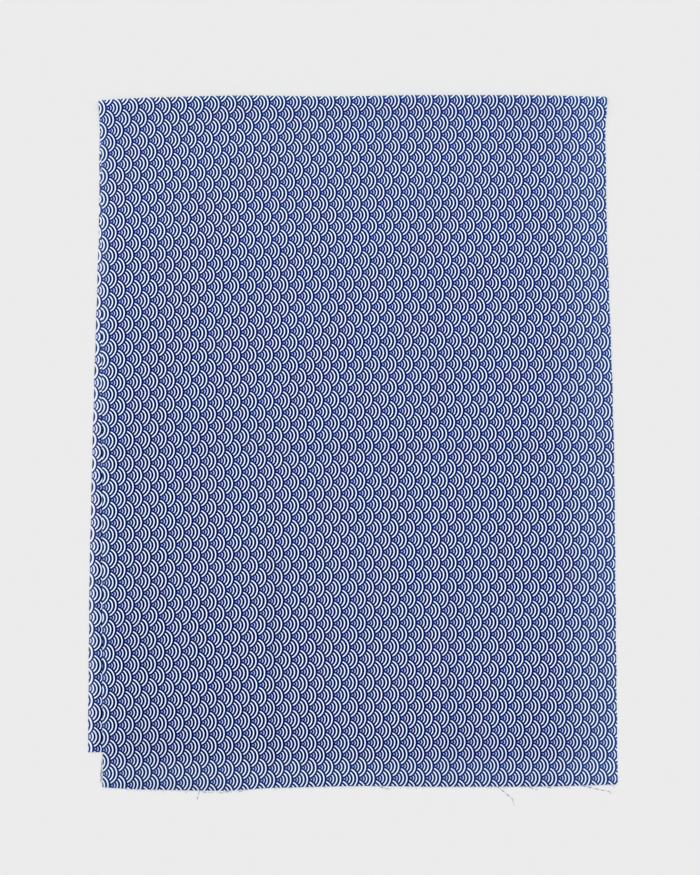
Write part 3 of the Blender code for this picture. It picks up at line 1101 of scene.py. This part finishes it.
end_places = []
for end_bottom, quads in zip(END_BOTTOMS, (near_end, far_end)):
    loops = quads % loop_length
    place = np.where(loops < columns, loops, reverse_order[0] - loops)
    across = SIDE_LEFT + END_WIDTH * place / columns
    up = end_bottom + END_HEIGHT * (loops >= columns)
    end_places.append(np.stack([across, up], axis=-1))
rim_end_places = np.full((len(rim_ends), 3, 2), CORNER_PLACE) + np.array(CORNER_TRIANGLE)
bake_map = towel.data.uv_layers.new(name="OFBake")
every_place = np.concatenate(
    [part.reshape(-1, 2) for part in (bake_places, *end_places, rim_end_places)]
)
bake_map.uv.foreach_set("vector", every_place.astype(np.float32).ravel())
bake_low, bake_high = every_place.min(axis=0), every_place.max(axis=0)
print("bake map reaches from", bake_low.round(3), "to", bake_high.round(3))

# %% [markdown]
# ## Frayed ends
# A raw cut lets go of the last crossing threads, and the yarn ends that run along the cloth stick
# out as short pale fuzz. Each is a thin tube with its own length and lean. All of them are worked
# out together: paths as one array, and a ring of points round every path point.


# %% Tubes along many paths
def tube_mesh(paths, radii, sides_round):
    """Points and faces of tubes: a ring round each path point, in the plane across its path.

    paths is tubes x steps x 3 and radii is tubes x steps.
    """
    tubes, steps = paths.shape[:2]
    ahead = np.gradient(paths, axis=1)
    ahead = ahead / np.linalg.norm(ahead, axis=-1, keepdims=True)
    level = np.cross(ahead, np.array([0.0, 0.0, 1.0]))
    level = level / np.linalg.norm(level, axis=-1, keepdims=True)
    upward = np.cross(level, ahead)
    angles = 2.0 * np.pi * np.arange(sides_round) / sides_round
    rings = np.cos(angles)[:, None] * level[:, :, None]
    rings = rings + np.sin(angles)[:, None] * upward[:, :, None]
    points = paths[:, :, None] + radii[:, :, None, None] * rings
    number = np.arange(tubes * steps * sides_round).reshape(tubes, steps, sides_round)
    turned = np.roll(number, -1, axis=2)
    walls = np.stack([number[:, :-1], number[:, 1:], turned[:, 1:], turned[:, :-1]], axis=-1)
    return points, [walls.reshape(-1, 4), number[:, 0], number[:, -1, ::-1]]


FRAY_PITCH = 0.00055
FRAY_RADIUS = 0.00011
FRAY_SIDES = 4
FRAY_STEPS = 5
FRAY_ROOT = 0.0004
FRAY_PLACES = (0.2, 0.8)
FRAY_SHORTEST = 0.00040
FRAY_MORE = 0.00042
FRAY_LEAN = 0.28
FRAY_CURL = 0.5
FRAY_REST = 0.8
FRAY_DROP_RUN = 0.0012
FRAY_THINNING = 0.55
FRAY_THICKNESSES = (0.7, 1.1)
FRAY_DYE = 0.45
FRAY_WORN = 0.5
UPPER_LONGEST = 0.0022
LOWER_LONGEST = 0.0016
FRAY_SEED = 23
chance = np.random.default_rng(FRAY_SEED)


def frayed_end(name, edge_points, edge_places, outward, longest, material):
    """Yarn ends along a cut: straight out of the cloth, leaning, curling and coming down."""
    count = round(CLOTH_WIDTH / FRAY_PITCH)
    share = (np.arange(count) + chance.uniform(*FRAY_PLACES, count)) / count
    root = np.stack([np.interp(share, shares, edge_points[:, axis]) for axis in range(3)], axis=-1)
    place = np.stack([np.interp(share, shares, edge_places[:, axis]) for axis in range(2)], axis=-1)
    length = np.minimum(FRAY_SHORTEST + chance.exponential(FRAY_MORE, count), longest)
    lean = chance.normal(0.0, FRAY_LEAN, count)
    curl = chance.normal(0.0, FRAY_CURL, count)
    way = np.linspace(0.0, 1.0, FRAY_STEPS)
    out = -FRAY_ROOT + (length[:, None] + FRAY_ROOT) * way
    reach = np.clip(out, 0.0, None)
    aside = lean[:, None] * reach + curl[:, None] * reach**2 / length[:, None]
    rest = FRAY_RADIUS * FRAY_REST
    down = (root[:, 2, None] - rest) * smoothstep(reach / FRAY_DROP_RUN)
    paths = np.stack(
        [root[:, 0, None] + aside, root[:, 1, None] - out, root[:, 2, None] - down], axis=-1
    )
    thickness = chance.uniform(*FRAY_THICKNESSES, count)
    radii = FRAY_RADIUS * (1.0 - FRAY_THINNING * way**2) * thickness[:, None]
    points, faces = tube_mesh(paths, radii, FRAY_SIDES)
    places = np.broadcast_to(place[:, None, None], points.shape[:3] + (2,)).copy()
    places[..., 1] -= 1000.0 * outward * out[:, :, None]
    yarns = make_piece(name, points, faces, places, material)
    mark_points(yarns, "painted_light_share", np.ones(points.shape[:3]))
    mark_points(yarns, "lit_and_worn_share", np.full(points.shape[:3], FRAY_WORN))
    print(name, "has", count, "yarn ends, the longest", round(1000.0 * length.max(), 2), "mm")
    return yarns


pale_yarn = printed_cotton("frayed_cotton_yarn", FRAY_DYE)
upper_fray = frayed_end(
    "upper_frayed_end", middle[0], cloth_mm[0], 1.0, UPPER_LONGEST, pale_yarn
)
lower_fray = frayed_end(
    "lower_frayed_end", middle[-1], cloth_mm[-1], -1.0, LOWER_LONGEST, pale_yarn
)

# %% [markdown]
# ## Loose threads
# A few threads have come right out of the near end and lie on the surface, still caught under it.
# Two are long; the rest are short bits, and four of those lie along the selvedge at the corner.
# Each follows a smooth line through a few places, rises a little here and there, and thins at its
# tip. They are blue-grey and pale by turns along their length.

# %% The loose threads
THREAD_RADIUS = 0.00014
THREAD_SIDES = 6
THREAD_STEPS = 40
THREAD_RISE = 0.8
THREAD_WAVES = 3.0
THREAD_THINNING = 0.6
THREAD_DASH = 2.15
BLUE_UNTIL = 0.35
PALE_FROM = 0.65
THREAD_BLUE = "#5F6A90"
THREAD_PALE = "#D4D9DF"

LOOSE_THREADS = table(
    "dash_start x y",
    (1.6, (93.8, 99.2, 102.6, 105.4, 106.6), (-228.5, -233.2, -236.0, -238.6, -242.4)),
    (0.0, (144.0, 156.2, 163.5, 169.4, 171.0), (-228.0, -230.8, -232.4, -233.6, -235.4)),
    (0.0, (-102.2, -101.9, -101.2, -100.8), (-238.2, -236.6, -234.2, -231.4)),
    (0.0, (-102.4, -102.3, -102.1, -101.9), (-238.5, -237.8, -237.1, -236.4)),
    (0.0, (-111.8, -110.6, -109.8, -109.4), (-231.6, -233.0, -234.0, -234.4)),
    (0.0, (-101.2, -99.4, -96.2, -92.6), (-231.8, -233.4, -234.2, -234.2)),
    (0.0, (-70.0, -72.8, -75.2, -76.8), (-231.8, -233.0, -233.8, -234.0)),
    (0.0, (-78.4, -82.6, -86.4, -89.6), (-232.4, -233.6, -234.4, -234.2)),
    (0.0, (15.0, 18.5, 22.5, 26.2), (-229.0, -230.6, -231.8, -231.6)),
    (0.0, (113.5, 116.5, 119.2, 122.2), (-229.6, -230.8, -231.6, -232.2)),
    (0.0, (125.6, 128.2, 130.4, 132.2), (-229.6, -230.5, -231.1, -231.8)),
    (0.0, (-164.8, -165.2, -165.3, -164.9), (-229.0, -226.2, -222.6, -219.0)),
    (1.0, (-164.9, -165.6, -165.7, -165.0), (-228.2, -224.0, -219.0, -213.0)),
    (2.0, (-165.2, -166.3, -166.2, -165.3), (-228.6, -225.4, -221.0, -216.4)),
    (0.5, (-165.0, -165.9, -165.6, -164.8), (-227.4, -222.0, -215.0, -209.0)),
)


def thread_path(thread):
    """A smooth line through the stops, and a low wave in height: radius * (1 + rise * (1 - cos of
    the waves' angle)), so that it never goes under the surface."""
    way = np.linspace(0.0, 1.0, THREAD_STEPS)
    ticks = np.linspace(0.0, 1.0, len(thread.x))
    x = curve_through(ticks, thread.x, way) / 1000.0
    y = curve_through(ticks, thread.y, way) / 1000.0
    z = THREAD_RADIUS * (1.0 + THREAD_RISE * (1.0 - np.cos(2.0 * np.pi * THREAD_WAVES * way)))
    return np.stack([x, y, z], axis=-1)


yarn_material, yarn_tree, yarn_shader = new_material(
    "loose_cotton_thread", {"Roughness": 0.9, "Specular IOR Level": 0.15}
)
yarn_place = add_node(yarn_tree, "UVMap", uv_map="cloth_mm")
yarn_along = add_node(yarn_tree, "SeparateXYZ", [yarn_place], "Y")
yarn_turn = calc(yarn_tree, "PINGPONG", yarn_along, THREAD_DASH)
yarn_pale_share = ramp(yarn_tree, yarn_turn, BLUE_UNTIL * THREAD_DASH, PALE_FROM * THREAD_DASH)
yarn_color = mix_colors(yarn_tree, yarn_pale_share, linear(THREAD_BLUE), linear(THREAD_PALE))
yarn_tree.links.new(yarn_color, yarn_shader.inputs["Base Color"])

paths = np.stack([thread_path(thread) for thread in LOOSE_THREADS])
thinning = 1.0 - THREAD_THINNING * np.linspace(0.0, 1.0, THREAD_STEPS) ** 3
radii = np.tile(THREAD_RADIUS * thinning, (len(paths), 1))
points, faces = tube_mesh(paths, radii, THREAD_SIDES)
walked = 1000.0 * steps_along(np.moveaxis(paths, 1, 0)).T
walked = walked + np.array([thread.dash_start for thread in LOOSE_THREADS])[:, None]
places = np.stack([np.zeros_like(walked), walked], axis=-1)
places = np.repeat(places[:, :, None], points.shape[2], axis=2)
threads = make_piece("loose_threads", points, faces, places, yarn_material)
print("loose threads:", len(paths))
